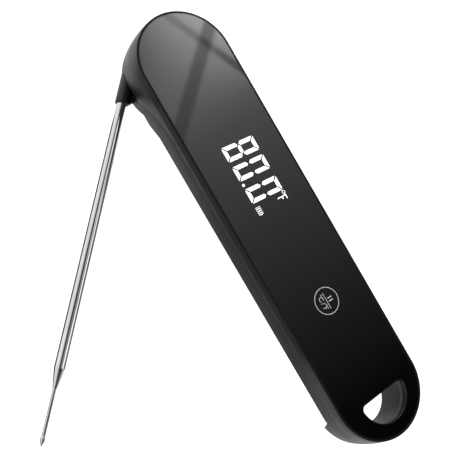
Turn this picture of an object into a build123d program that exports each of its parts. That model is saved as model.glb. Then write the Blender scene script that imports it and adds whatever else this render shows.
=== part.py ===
"""Folding instant-read meat thermometer with a glossy full-face panel, probe half open.

The body lies on its flat back with the panel upward. The origin is on the back plane, in the
middle of the body's outline: +X points to the top of the figures, +Y to the hinge end and
+Z out of the front panel. All sizes are in millimetres.
"""

import os
from math import cos, radians, sin

from build123d import *

os.makedirs("parts", exist_ok=True)

# ---------------------------------------------------------------- driving dimensions
# Body outline and heights above the back plane
body_length = 170.0
body_width = 37.0
thickness = 19.0
side_bulge = 0.7
wall = 1.6
end_radius = body_width / 2
end_y = body_length / 2 - end_radius
beyond = 60.0

# Front panel and its seat
rim = 0.7
panel_thickness = 0.8
tape_thickness = 0.2
print_depth = 0.12
panel_top = thickness
panel_back = panel_top - panel_thickness
panel_seat = panel_back - tape_thickness
front_floor = panel_seat - 1.4

# Parting line of the two shells, seen from the side
parting_height = 15.0
parting_curve_start = 42.0
parting_turn = (57.0, 11.0)
head_back = 5.3
parting_end_y = 63.4

# Back of the rear shell: raised spine, probe channel, thin foot
spine_left = -13.6
spine_top = 48.5
spine_bottom = -60.0
foot_back = 3.2
foot_round = 2.2
channel_head_y = 47.5
channel_head_roof = 7.4
channel_ramp = 6.0
channel_foot_y = -68.8
channel_foot_roof = 9.2
foot_lip = 2.4

# Hanging hole
hole_x = 0.7
hole_radius = 10.2
hole_top = -69.0
hole_depth = 10.8
hole_corner = 1.9
hole_collar = 1.5

# Hinge and drum
hinge_y = end_y
open_angle = 43.2
drum_front = 5.05
drum_back = 0.3
drum_clearance = 0.75
post_radius = 5.0
running_gap = 0.05
post_end = 1.5
drum_recess_radius = 9.5
drum_recess = 2.0

# Probe, measured in the drum's own frame (folded along -Y)
probe_offset = -16.0
probe_height = 2.7
tube_radius = 1.75
arm_radius = 2.45
tube_root_radius = 1.5
exit_groove = 0.2
tube_bore = 1.25
arm_root = -3.0
arm_end = -17.0
pocket_edge = -11.7
web_back = 1.4
web_step = 3.2
web_front = 4.0
web_corner = 2.5
root_tab_edge = -9.8
root_tab_end = -8.5
tube_root = 5.0
tube_length = 95.3
step_length = 6.4
tip_radius = 0.6
tip_flare = 0.2
tip_bore = 0.38
tip_length = 18.0
relief_x = -13.2
relief_radius = 4.2
plate_radius = 13.5
plate_bore = 9.6
plate_thickness = 1.0
plate_screw_circle = 11.6

# Electronics and battery
board_back = 13.1
board_thickness = 1.0
board_front = board_back + board_thickness
board_middle_x = 0.5
board_width = 29.0
board_top_y = 47.0
board_bottom_y = -61.5
display_middle = (0.4, 19.5)
display_width = 17.8
display_length = 30.8
display_gap = 0.4
spring_radius = 4.0
spring_wire = 0.6
spring_pitch = 0.9
spring_turns = 4
touch_window_radius = 4.6
magnet_radius = 6.0
magnet_thickness = 2.0
magnet_places = (8.0, 26.0)
battery_radius = 5.25
battery_length = 44.5
battery_x = 2.0
battery_y = -34.8
battery_height = 7.6
battery_cap_radius = 1.9
battery_cap = 1.0
contact_width = 7.0
contact_sheet = 0.4
contact_foot = 4.0
tongue_width = 3.0
tongue_rise = 2.5
bay_floor = 2.8
bay_side = 0.3
bay_end = 1.6
door_seal_inside = 0.5
door_seal_line = 1.0
door_seal_height = 0.6
door_thickness = 1.45
door_gap = 0.25
door_width = 24.0
door_top = -9.0
rail = 0.8
touch_y = -31.5

# Figures of the reading
figure_height = 13.8
figure_width = 5.65
stroke = 1.5
bar_gap = 0.31
middle_stroke = 1.3
figure_slant = 0.046
figure_middle = 0.5
figure_starts = (32.95, 25.3, 16.45)
decimal_radius = 0.54
decimal_y = 18.0

# Printed ring of the touch key
key_ring_radius = 4.98
key_ring_line = 0.3

# Screws that hold the shells together
screw_places = [(13.0, 42.0), (-9.6, 42.0), (13.4, -3.0), (-10.0, -3.0), (0.0, -64.2)]
screw_shank = 1.0
screw_head = 2.0
screw_head_height = 1.2
screw_seat = 2.2
screw_cross = (2.4, 0.45)
screw_cross_depth = 0.6
screw_bite = 1.8
boss_radius = 2.9
front_boss_radius = 2.3

# Hinge stack and the plate screws
washer_thickness = 0.5
washer_radius = 8.8
hinge_screw_shank = 1.5
hinge_screw_head = 3.0
cap_radius = 9.0
cap_wall = 0.8
cap_skin = 0.5
plate_screw_shank = 0.7
plate_screw_head = 1.3
hub_magnet_radius = 1.8
hub_magnet_thickness = 2.0

# The drum's own frame: its -Y runs along the probe, turned from folded to half open.
swing = Plane(
    origin=(0, hinge_y, 0),
    x_dir=(cos(radians(open_angle)), -sin(radians(open_angle)), 0),
    z_dir=(0, 0, 1),
)
# Plane through the probe's axis: local X runs out along the probe, local Y is up.
probe_axis = Plane(
    origin=swing.from_local_coords((probe_offset, 0, probe_height)),
    x_dir=-swing.y_dir,
    z_dir=-swing.x_dir,
)
# Section planes across the probe, looking out along it: at its axis, and for the case's relief.
arm_section = Plane(
    origin=swing.from_local_coords((probe_offset, arm_root, probe_height)),
    x_dir=swing.x_dir,
    z_dir=-swing.y_dir,
)
relief_plane = Plane(
    origin=swing.from_local_coords((relief_x, -8.0, probe_height)),
    x_dir=swing.x_dir,
    z_dir=-swing.y_dir,
)


# ---------------------------------------------------------------- shared outlines
def pill_outline(radius):
    """The body's outline in plan, with round ends of the given radius."""
    SlotCenterToCenter(2 * end_y, 2 * radius, rotation=90)


def side_section():
    """Half of the case's cross-section, with its slightly bulged side."""
    with BuildLine() as outline:
        Polyline((end_radius, thickness), (0, thickness), (0, 0), (end_radius, 0))
        ThreePointArc(
            (end_radius, 0),
            (end_radius + side_bulge, thickness * 0.58),
            (end_radius, thickness),
        )
    make_face(outline.edges())


def parting_region():
    """Side view of everything in front of the parting line, in the YZ plane."""
    with BuildLine() as outline:
        Line((-beyond - body_length, parting_height), (parting_curve_start, parting_height))
        Spline(
            (parting_curve_start, parting_height),
            parting_turn,
            (parting_end_y, head_back),
            tangents=((1, 0), (0.45, -1)),
        )
        Polyline(
            (parting_end_y, head_back),
            (body_length, head_back),
            (body_length, beyond),
            (-beyond - body_length, beyond),
            (-beyond - body_length, parting_height),
        )
    make_face(outline.edges())


def hole_outline(margin=0.0):
    """D-shaped hanging hole: straight towards the head, half round towards the foot."""
    radius = hole_radius + margin
    top = hole_top + margin
    with BuildLine() as outline:
        Line((hole_x - radius, top), (hole_x + radius, top))
        ThreePointArc(
            (hole_x + radius, top),
            (hole_x, hole_top - hole_depth - margin),
            (hole_x - radius, top),
        )
    face = make_face(outline.edges())
    fillet(face.vertices(), hole_corner + margin)


def screw_points():
    """Places of the shell screws."""
    return Locations(*screw_places)


def save(builder, name):
    """Label one finished sub-part and write it."""
    builder.part.label = name
    export_step(builder.part, f"parts/{name}.step")


# Outer form of the whole case, from the back plane to the panel.
with BuildPart() as outer_form:
    with BuildSketch(Plane.XZ.offset(-end_y)) as right_half:
        side_section()
    with BuildSketch(Plane.XZ.offset(-end_y)) as both_halves:
        side_section()
        mirror(about=Plane.YZ)
    extrude(to_extrude=both_halves.sketch, amount=2 * end_y)
    revolve(right_half.sketch, axis=Axis((0, end_y, 0), (0, 0, 1)))
    with BuildSketch(Plane.XZ.offset(end_y)) as foot_half:
        side_section()
    revolve(foot_half.sketch, axis=Axis((0, -end_y, 0), (0, 0, 1)))

# Round form of the head alone, which the drum follows as it turns.
with BuildPart() as head_form:
    with BuildSketch(Plane.XZ.offset(-hinge_y)):
        side_section()
    revolve(axis=Axis((0, hinge_y, 0), (0, 0, 1)))


# ---------------------------------------------------------------- front panel
def place_segment(points):
    """One lit bar of a figure."""
    with BuildLine() as outline:
        Polyline(*points, close=True)
    make_face(outline.edges())


def figure_point(start, across, up):
    """Point of a figure: across runs to the right of it, up to its top, both in millimetres."""
    x = figure_middle + up - figure_height / 2
    return (x, start - across - figure_slant * up)


def figure_bars():
    """Corner points of the seven bars of a figure, with mitred corners and narrow gaps."""
    width, height, middle = figure_width, figure_height, figure_height / 2
    inner, gap = stroke, bar_gap
    tip = 0.6 * stroke
    shoulder = 0.75 * stroke
    half = middle_stroke / 2
    lower_left = [
        (0, gap),
        (0, middle - shoulder),
        (tip, middle - gap),
        (inner, middle - half - gap),
        (inner, inner + gap),
    ]
    bottom = [(gap, 0), (inner + gap, inner), (width - inner - gap, inner), (width - gap, 0)]
    bars = {
        "d": bottom,
        "e": lower_left,
        "g": [
            (tip + gap, middle),
            (inner + gap, middle + half),
            (width - inner - gap, middle + half),
            (width - tip - gap, middle),
            (width - inner - gap, middle - half),
            (inner + gap, middle - half),
        ],
    }
    bars["a"] = [(u, height - v) for u, v in bottom]
    bars["f"] = [(u, height - v) for u, v in lower_left]
    bars["c"] = [(width - u, v) for u, v in lower_left]
    bars["b"] = [(width - u, height - v) for u, v in lower_left]
    return bars


def draw_figure(start, lit):
    """Seven-segment figure; lit names its bars a to g."""
    for name, shape in figure_bars().items():
        if name in lit:
            place_segment([figure_point(start, u, v) for u, v in shape])


def reading_sketch():
    """The three figures and the decimal point."""
    for start, lit in zip(figure_starts, ("abcdefg", "abcdef", "abcdef")):
        draw_figure(start, lit)
    with Locations((figure_middle - figure_height / 2 + decimal_radius, decimal_y)):
        Circle(decimal_radius)


def degree_mark(x, y, radius, line):
    """Small ring of a degree sign."""
    with Locations((x, y)):
        Circle(radius)
        Circle(radius - line, mode=Mode.SUBTRACT)


def letter_f(x, y, height, width, line):
    """Letter F whose foot is at x and whose stem starts at y."""
    with Locations((x + height / 2, y - line / 2)):
        Rectangle(height, line)
    for up, share in ((height - line / 2, 1.0), (height * 0.52, 0.72)):
        with Locations((x + up, y - width * share / 2)):
            Rectangle(line, width * share)


def unit_sketch():
    """Degree mark, unit letter and small battery mark."""
    degree_mark(7.05, 9.15, 0.68, 0.22)
    letter_f(3.55, 8.25, 3.85, 1.65, 0.38)
    mark_x, mark_y = -5.4, 7.6
    width, length, line = 1.9, 2.9, 0.16
    with Locations((mark_x, mark_y)):
        Rectangle(width, length)
        Rectangle(width - 2 * line, length - 2 * line, mode=Mode.SUBTRACT)
        with GridLocations(1, 0.76, 1, 3):
            Rectangle(1.1, 0.32)
    with Locations((mark_x, mark_y - length / 2 - 0.12)):
        Rectangle(0.8, 0.24)


def touch_sketch():
    """Printed touch key: a ring, a divider, a hold sign above and the two units below."""
    with Locations((0, touch_y)):
        Circle(key_ring_radius)
        Circle(key_ring_radius - key_ring_line, mode=Mode.SUBTRACT)
        Rectangle(0.24, 6.1)
    for y in (touch_y + 0.55, touch_y - 0.55):
        with Locations((1.7, y)):
            Rectangle(1.9, 0.42)
    degree_mark(-0.95, touch_y + 2.55, 0.34, 0.17)
    with Locations((-1.75, touch_y + 1.3)):
        Circle(0.95)
        Circle(0.69, mode=Mode.SUBTRACT)
    with Locations((-1.75, touch_y + 0.45)):
        Rectangle(0.9, 0.6, mode=Mode.SUBTRACT)
    with Locations((-1.75, touch_y - 0.25)):
        Rectangle(1.9, 0.2, rotation=-18)
    degree_mark(-0.95, touch_y - 1.15, 0.34, 0.17)
    letter_f(-2.7, touch_y - 1.65, 1.9, 1.0, 0.24)


print_floor = panel_top - print_depth

with BuildPart() as display_digits:
    with BuildSketch(Plane.XY.offset(print_floor)):
        reading_sketch()
    extrude(amount=print_depth)
save(display_digits, "display_digits")

with BuildPart() as unit_marks:
    with BuildSketch(Plane.XY.offset(print_floor)):
        unit_sketch()
    extrude(amount=print_depth)
save(unit_marks, "unit_marks")

with BuildPart() as touch_key_mark:
    with BuildSketch(Plane.XY.offset(print_floor)):
        touch_sketch()
    extrude(amount=print_depth)
save(touch_key_mark, "touch_key_mark")

with BuildPart() as front_panel:
    with BuildSketch(Plane.XY.offset(panel_back)):
        pill_outline(end_radius - rim)
    extrude(amount=panel_thickness)
    with BuildSketch(Plane.XY.offset(panel_back)):
        hole_outline()
    extrude(amount=panel_thickness, mode=Mode.SUBTRACT)
    with BuildSketch(Plane.XY.offset(print_floor)):
        reading_sketch()
        unit_sketch()
        touch_sketch()
    extrude(amount=print_depth, mode=Mode.SUBTRACT)
save(front_panel, "front_panel")

with BuildPart() as panel_tape:
    with BuildSketch(Plane.XY.offset(panel_seat)):
        pill_outline(end_radius - rim - 0.3)
        pill_outline(end_radius - rim - 3.3)
    extrude(amount=tape_thickness)
    with BuildSketch(Plane.XY.offset(panel_seat)):
        with Locations((0, 8)):
            SlotCenterToCenter(100, 2 * (end_radius - rim - 3.3), rotation=90)
        hole_outline(margin=0.8)
    extrude(amount=tape_thickness, mode=Mode.SUBTRACT)
save(panel_tape, "panel_tape")


# ---------------------------------------------------------------- front shell
with BuildPart() as front_shell:
    add(outer_form.part)
    with BuildSketch(Plane.YZ.offset(-body_width)):
        parting_region()
    extrude(amount=2 * body_width, mode=Mode.INTERSECT)
    # hollow behind the floor
    with BuildSketch():
        pill_outline(end_radius - wall)
    extrude(amount=front_floor, mode=Mode.SUBTRACT)
    # seat of the panel
    with BuildSketch(Plane.XY.offset(panel_seat)):
        pill_outline(end_radius - rim)
    extrude(amount=beyond, mode=Mode.SUBTRACT)
    # collar of the hanging hole
    with BuildSketch(Plane.XY.offset(parting_height)):
        hole_outline(margin=hole_collar)
    extrude(amount=panel_seat - parting_height)
    with BuildSketch():
        hole_outline()
    extrude(amount=beyond, mode=Mode.SUBTRACT)
    # screw bosses
    with BuildSketch(Plane.XY.offset(board_front)):
        with screw_points():
            Circle(front_boss_radius)
    extrude(amount=front_floor - board_front)
    with BuildSketch(Plane.XY.offset(board_front)):
        with screw_points():
            Circle(screw_shank)
    extrude(amount=screw_bite + 0.1, mode=Mode.SUBTRACT)
    # windows for the display and the touch spring
    with BuildSketch(Plane.XY.offset(front_floor)):
        with Locations(display_middle):
            RectangleRounded(display_width + 2 * display_gap, display_length + 2 * display_gap, 1.0)
        with Locations((0, touch_y)):
            Circle(touch_window_radius)
    extrude(amount=beyond, mode=Mode.SUBTRACT)
    # relief over the root of the probe arm
    with BuildSketch(relief_plane):
        Circle(relief_radius)
    extrude(amount=20, mode=Mode.SUBTRACT)
    front_rim = front_shell.edges().filter_by_position(Axis.Z, thickness - 0.01, thickness + 0.01)
    fillet(front_rim.sort_by(SortBy.LENGTH)[-1:], 0.2)
save(front_shell, "front_shell")


# ---------------------------------------------------------------- rear shell
def shelf_profile(drop=0.0):
    """Side view of the space behind the shelf over the probe channel, moved up by drop."""
    foot_y = channel_foot_y - foot_lip
    with BuildLine() as outline:
        Polyline(
            (-body_length, -beyond),
            (-body_length, foot_back + drop),
            (foot_y, foot_back + drop),
            (channel_foot_y, channel_foot_roof + drop),
            (channel_head_y, channel_head_roof + drop),
            (channel_head_y + channel_ramp, head_back + drop),
            (body_length, head_back + drop),
            (body_length, -beyond),
            close=True,
        )
    make_face(outline.edges())


def spine_outline(margin=0.0):
    """Plan of the raised spine: left edge beside the channel, round bite around the drum."""
    left = spine_left + margin
    right = body_width
    top = spine_top - margin
    bottom = spine_bottom + margin
    with Locations(((left + right) / 2, (top + bottom) / 2)):
        RectangleRounded(right - left, top - bottom, 2.0)
    with Locations((0, hinge_y)):
        Circle(end_radius + drum_clearance + margin, mode=Mode.SUBTRACT)


def foot_block(margin=0.0):
    """Plan of the thick foot beside the channel, below the spine."""
    left = spine_left + margin
    top = spine_bottom + 2.0
    bottom = -body_length / 2
    with Locations(((left + body_width) / 2, (top + bottom) / 2)):
        Rectangle(body_width - left, top - bottom)


# Space that the back leaves free: foot, probe channel and drum, all but the spine.
with BuildPart() as back_space:
    with BuildSketch(Plane.YZ.offset(-body_width)):
        shelf_profile()
    extrude(amount=2 * body_width)
    with BuildSketch(Plane.XY.offset(-beyond)):
        spine_outline()
    extrude(amount=2 * beyond, mode=Mode.SUBTRACT)
    with BuildSketch(Plane.XY.offset(foot_back)):
        foot_block()
    extrude(amount=beyond, mode=Mode.SUBTRACT)

# Hollow inside both shells.
with BuildPart() as hollow:
    with BuildSketch():
        pill_outline(end_radius - wall)
    extrude(amount=front_floor)
    with BuildSketch(Plane.YZ.offset(-body_width)):
        shelf_profile(drop=wall)
    extrude(amount=2 * body_width, mode=Mode.SUBTRACT)
    with BuildSketch(Plane.XY.offset(wall)):
        spine_outline(margin=wall)
    extrude(amount=front_floor - wall)
    with BuildSketch(Plane.XY.offset(foot_back + wall)):
        foot_block(margin=wall)
    extrude(amount=front_floor - foot_back - wall)
    with BuildSketch():
        pill_outline(end_radius - wall)
    extrude(amount=front_floor, mode=Mode.INTERSECT)

bay_bottom = battery_y - battery_length / 2 - bay_end
bay_top = battery_y + battery_length / 2 + bay_end
bay_middle = (bay_bottom + bay_top) / 2
bay_floor_top = door_top + 4.0
bay_floor_bottom = spine_bottom + 1.0


def door_seal_plan(margin):
    """Plan of the door seal, this far outside the battery bay."""
    with Locations((battery_x, bay_middle)):
        Rectangle(2 * (battery_radius + bay_side + margin), bay_top - bay_bottom + 2 * margin)


with BuildPart() as rear_shell:
    add(outer_form.part)
    with BuildSketch(Plane.YZ.offset(-body_width)):
        parting_region()
    extrude(amount=2 * body_width, mode=Mode.SUBTRACT)
    add(back_space.part, mode=Mode.SUBTRACT)
    fillet(rear_shell.edges().filter_by_position(Axis.Z, -0.01, 0.01), 1.4)
    foot_edges = rear_shell.edges().filter_by_position(Axis.Z, foot_back - 0.01, foot_back + 0.01)
    fillet(foot_edges.sort_by(Axis.Y)[0], foot_round)
    add(hollow.part, mode=Mode.SUBTRACT)
    # relief over the root of the probe arm
    with BuildSketch(relief_plane):
        Circle(relief_radius)
    extrude(amount=20, mode=Mode.SUBTRACT)
    # floor over the drum, inside the front shell's skirt
    with BuildSketch(Plane.XY.offset(head_back)):
        with Locations((0, hinge_y)):
            Circle(end_radius - wall - 0.15)
        with Locations((0, hinge_y - 10)):
            Rectangle(2 * (end_radius - wall - 0.15), 20)
    extrude(amount=wall)
    # hollow hinge post
    with BuildSketch(Plane.XY.offset(post_end)):
        with Locations((0, hinge_y)):
            Circle(post_radius)
    extrude(amount=10.0 - post_end)
    with BuildSketch():
        with Locations((0, hinge_y)):
            Circle(1.5)
    extrude(amount=9.0, mode=Mode.SUBTRACT)
    # collar of the hanging hole
    with BuildSketch(Plane.XY.offset(foot_back)):
        hole_outline(margin=hole_collar)
    extrude(amount=parting_height - foot_back)
    with BuildSketch():
        hole_outline()
    extrude(amount=beyond, mode=Mode.SUBTRACT)
    # thicker floor round the battery bay
    with BuildSketch():
        with Locations((battery_x, (bay_floor_bottom + bay_floor_top) / 2)):
            Rectangle(door_width + 4, bay_floor_top - bay_floor_bottom)
    extrude(amount=bay_floor)
    # screw bosses
    with BuildSketch(Plane.XY.offset(wall)):
        with Locations(*screw_places[:4]):
            Circle(boss_radius)
    extrude(amount=board_back - wall)
    with BuildSketch(Plane.XY.offset(foot_back)):
        with Locations(screw_places[4]):
            Circle(boss_radius)
    extrude(amount=board_back - foot_back)
    with BuildSketch():
        with screw_points():
            Circle(screw_shank + 0.1)
    extrude(amount=board_back, mode=Mode.SUBTRACT)
    with BuildSketch():
        with Locations(*screw_places[:4]):
            Circle(screw_head + 0.3)
    extrude(amount=screw_seat, mode=Mode.SUBTRACT)
    with BuildSketch():
        with Locations(screw_places[4]):
            Circle(screw_head + 0.3)
    extrude(amount=foot_back + screw_seat, mode=Mode.SUBTRACT)
    # recess and rails of the battery door, open towards the foot
    door_middle = (door_top + spine_bottom) / 2
    with BuildSketch():
        with Locations((battery_x, door_middle + door_gap / 2 - 2)):
            Rectangle(door_width + 2 * door_gap, door_top - spine_bottom + door_gap + 4)
    extrude(amount=door_thickness + door_gap, mode=Mode.SUBTRACT)
    with BuildSketch(Plane.XY.offset(door_thickness - rail - door_gap)):
        with Locations((battery_x, door_middle + door_gap / 2 - 2)):
            Rectangle(door_width + 2 * rail + 2 * door_gap, door_top - spine_bottom + door_gap + 4)
    extrude(amount=rail + 2 * door_gap, mode=Mode.SUBTRACT)
    with BuildSketch():
        with Locations((battery_x, bay_middle)):
            Rectangle(2 * (battery_radius + bay_side), bay_top - bay_bottom)
    extrude(amount=board_back - 0.3, mode=Mode.SUBTRACT)
    # groove of the door seal
    with BuildSketch(Plane.XY.offset(door_thickness + door_gap)):
        door_seal_plan(door_seal_inside + door_seal_line)
    extrude(amount=door_seal_height, mode=Mode.SUBTRACT)
save(rear_shell, "rear_shell")


# ---------------------------------------------------------------- seals, board and display
with BuildPart() as shell_gasket:
    with BuildSketch(Plane.XY.offset(parting_height - 0.6)):
        pill_outline(end_radius - wall - 0.02)
    extrude(amount=1.2)
    with BuildSketch(Plane.XY.offset(parting_height - 0.6)):
        pill_outline(end_radius - wall - 0.62)
    extrude(amount=1.2, mode=Mode.SUBTRACT)
save(shell_gasket, "shell_gasket")

with BuildPart() as circuit_board:
    with BuildSketch(Plane.XY.offset(board_back)):
        with Locations((board_middle_x, (board_top_y + board_bottom_y) / 2)):
            RectangleRounded(board_width, board_top_y - board_bottom_y, 2.0)
        with Locations(*screw_places[:4]):
            Circle(screw_shank + 0.3, mode=Mode.SUBTRACT)
    extrude(amount=board_thickness)
    with BuildSketch(Plane.XY.offset(board_back)):
        with Locations(screw_places[4]):
            Circle(3.3)
    extrude(amount=board_thickness, mode=Mode.SUBTRACT)
save(circuit_board, "circuit_board")

# Packages on the back of the board: place, width, length and height of each.
packages = [
    (0.0, 20.0, 7.0, 7.0, 1.0),
    (-7.0, 33.0, 4.0, 5.0, 1.2),
    (7.5, 30.0, 3.2, 2.5, 0.9),
    (8.0, 12.0, 5.0, 3.2, 1.1),
    (-9.0, 14.0, 2.0, 1.2, 0.6),
    (-9.0, 20.0, 2.0, 1.2, 0.6),
    (10.5, 20.5, 1.2, 2.0, 0.6),
    (2.0, 40.5, 4.0, 4.0, 0.9),
]

with BuildPart() as board_components:
    for x, y, width, length, height in packages:
        with BuildSketch(Plane.XY.offset(board_back - height)):
            with Locations((x, y)):
                Rectangle(width, length)
        extrude(amount=height)
save(board_components, "board_components")

with BuildPart() as display_module:
    with BuildSketch(Plane.XY.offset(board_front)):
        with Locations(display_middle):
            RectangleRounded(display_width, display_length, 0.6)
    extrude(amount=panel_seat - board_front - 0.1)
    chamfer(display_module.edges().group_by(Axis.Z)[-1], 0.3)
save(display_module, "display_module")

with BuildPart() as touch_spring:
    for turn in range(spring_turns):
        with BuildSketch(Plane.XY.offset(board_front + turn * spring_pitch)):
            with Locations((0, touch_y)):
                Circle(spring_radius)
                Circle(spring_radius - spring_wire, mode=Mode.SUBTRACT)
        extrude(amount=spring_wire)
    # riser that joins the turns, and the flat touch plate on top
    spring_top = board_front + spring_turns * spring_pitch - (spring_pitch - spring_wire)
    with BuildSketch(Plane.XY.offset(board_front + spring_wire / 2)):
        with Locations((spring_radius - spring_wire / 2, touch_y)):
            Rectangle(0.5, 0.5)
    extrude(amount=spring_turns * spring_pitch - spring_pitch)
    with BuildSketch(Plane.XY.offset(spring_top)):
        with Locations((0, touch_y)):
            Circle(spring_radius)
    extrude(amount=0.4)
save(touch_spring, "touch_spring")

with BuildPart() as wake_switch:
    with BuildSketch(Plane.XY.offset(board_back - 2.0)):
        with Locations((1.5, 45.0)):
            Rectangle(8.0, 2.0)
    extrude(amount=2.0)
    fillet(wake_switch.edges().filter_by(Axis.X), 0.4)
save(wake_switch, "wake_switch")

# ---------------------------------------------------------------- battery and its door
battery_end = battery_y + battery_length / 2

with BuildPart() as battery:
    with BuildSketch(Plane.XZ.offset(-battery_end)):
        with Locations((battery_x, battery_height)):
            Circle(battery_cap_radius)
    extrude(amount=battery_cap)
    with BuildSketch(Plane.XZ.offset(-(battery_end - battery_cap))):
        with Locations((battery_x, battery_height)):
            Circle(battery_radius)
    extrude(amount=battery_length - battery_cap)
    fillet(battery.edges().filter_by(GeomType.CIRCLE).group_by(SortBy.RADIUS)[-1], 0.5)
save(battery, "battery")


contact_places = (
    ("battery_contact_positive", battery_end + 1.2, -1),
    ("battery_contact_negative", battery_end - battery_length - 1.2, 1),
)

for contact_name, contact_y, toward in contact_places:
    # upright sheet against the bay's end, with a bowed tongue that presses on the battery
    with BuildPart() as battery_contact:
        with BuildSketch(Plane.XY.offset(contact_foot)):
            with Locations((battery_x, contact_y)):
                Rectangle(contact_width, contact_sheet)
        extrude(amount=board_back - contact_foot)
        with BuildSketch(Plane.YZ.offset(battery_x - tongue_width / 2)):
            with BuildLine():
                Polyline(
                    (contact_y, battery_height + tongue_rise),
                    (contact_y + toward, battery_height + tongue_rise / 4),
                    (contact_y + toward, battery_height - tongue_rise / 4),
                    (contact_y, battery_height - tongue_rise),
                    close=True,
                )
            make_face()
        extrude(amount=tongue_width)
    save(battery_contact, contact_name)

with BuildPart() as battery_door:
    with BuildSketch():
        with Locations((battery_x, (door_top + spine_bottom) / 2)):
            Rectangle(door_width, door_top - spine_bottom)
    extrude(amount=door_thickness)
    with BuildSketch(Plane.XY.offset(door_thickness - rail)):
        with Locations((battery_x, (door_top + spine_bottom) / 2)):
            Rectangle(door_width + 2 * rail, door_top - spine_bottom)
    extrude(amount=rail)
    # thumb grips pressed into the outside
    with BuildSketch():
        with Locations((battery_x, door_top - 9)):
            with GridLocations(1, 2.2, 1, 5):
                SlotOverall(14.0, 1.0)
    extrude(amount=0.5, mode=Mode.SUBTRACT)
save(battery_door, "battery_door")

with BuildPart() as battery_door_seal:
    with BuildSketch(Plane.XY.offset(door_thickness + door_gap)):
        door_seal_plan(door_seal_inside + door_seal_line)
    extrude(amount=door_seal_height)
    with BuildSketch(Plane.XY.offset(door_thickness + door_gap)):
        door_seal_plan(door_seal_inside)
    extrude(amount=door_seal_height, mode=Mode.SUBTRACT)
save(battery_door_seal, "battery_door_seal")

with BuildPart() as back_magnets:
    with BuildSketch(Plane.XY.offset(wall)):
        with Locations(*[(battery_x, y) for y in magnet_places]):
            Circle(magnet_radius)
    extrude(amount=magnet_thickness)
    chamfer(back_magnets.edges(), 0.2)
save(back_magnets, "back_magnets")

with BuildPart() as shell_screws:
    for place in screw_places:
        seat = foot_back + screw_seat if place == screw_places[-1] else screw_seat
        with BuildSketch(Plane.XY.offset(seat - screw_head_height)):
            with Locations(place):
                Circle(screw_head)
        extrude(amount=screw_head_height)
        with BuildSketch(Plane.XY.offset(seat)):
            with Locations(place):
                Circle(screw_shank)
        extrude(amount=board_front + screw_bite - seat)
        with BuildSketch(Plane.XY.offset(seat - screw_head_height)):
            with Locations(place):
                Rectangle(*screw_cross)
                Rectangle(*reversed(screw_cross))
        extrude(amount=screw_cross_depth, mode=Mode.SUBTRACT)
save(shell_screws, "shell_screws")

# ---------------------------------------------------------------- hinge
with BuildPart() as hinge_washer:
    with BuildSketch(Plane.XY.offset(post_end - washer_thickness)):
        with Locations((0, hinge_y)):
            Circle(washer_radius)
            Circle(hinge_screw_shank + 0.1, mode=Mode.SUBTRACT)
    extrude(amount=washer_thickness)
save(hinge_washer, "hinge_washer")

with BuildPart() as friction_spring:
    with BuildSketch(Plane.XY.offset(post_end)):
        with Locations((0, hinge_y)):
            Circle(washer_radius - 0.4)
            Circle(post_radius + 0.3, mode=Mode.SUBTRACT)
    extrude(amount=0.4)
save(friction_spring, "friction_spring")

with BuildPart() as hinge_screw:
    with BuildSketch(Plane.XY.offset(cap_skin + 0.05)):
        with Locations((0, hinge_y)):
            Circle(hinge_screw_head)
    extrude(amount=post_end - washer_thickness - cap_skin - 0.05)
    with BuildSketch(Plane.XY.offset(post_end - washer_thickness)):
        with Locations((0, hinge_y)):
            Circle(hinge_screw_shank)
    extrude(amount=7.0)
save(hinge_screw, "hinge_screw")

with BuildPart() as hinge_cap:
    with BuildSketch():
        with Locations((0, hinge_y)):
            Circle(cap_radius)
    extrude(amount=post_end - washer_thickness)
    with BuildSketch(Plane.XY.offset(cap_skin)):
        with Locations((0, hinge_y)):
            Circle(cap_radius - cap_wall)
    extrude(amount=post_end - washer_thickness, mode=Mode.SUBTRACT)
    chamfer(hinge_cap.edges().group_by(Axis.Z)[0], 0.25)
save(hinge_cap, "hinge_cap")

with BuildPart() as hub_seal:
    with BuildSketch(Plane.XZ.offset(-hinge_y)):
        with Locations((post_radius + 0.78, 4.55)):
            Circle(0.68)
    revolve(axis=Axis((0, hinge_y, 0), (0, 0, 1)))
save(hub_seal, "hub_seal")

# ---------------------------------------------------------------- turning drum with the probe
plate_front = drum_back + plate_thickness

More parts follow.
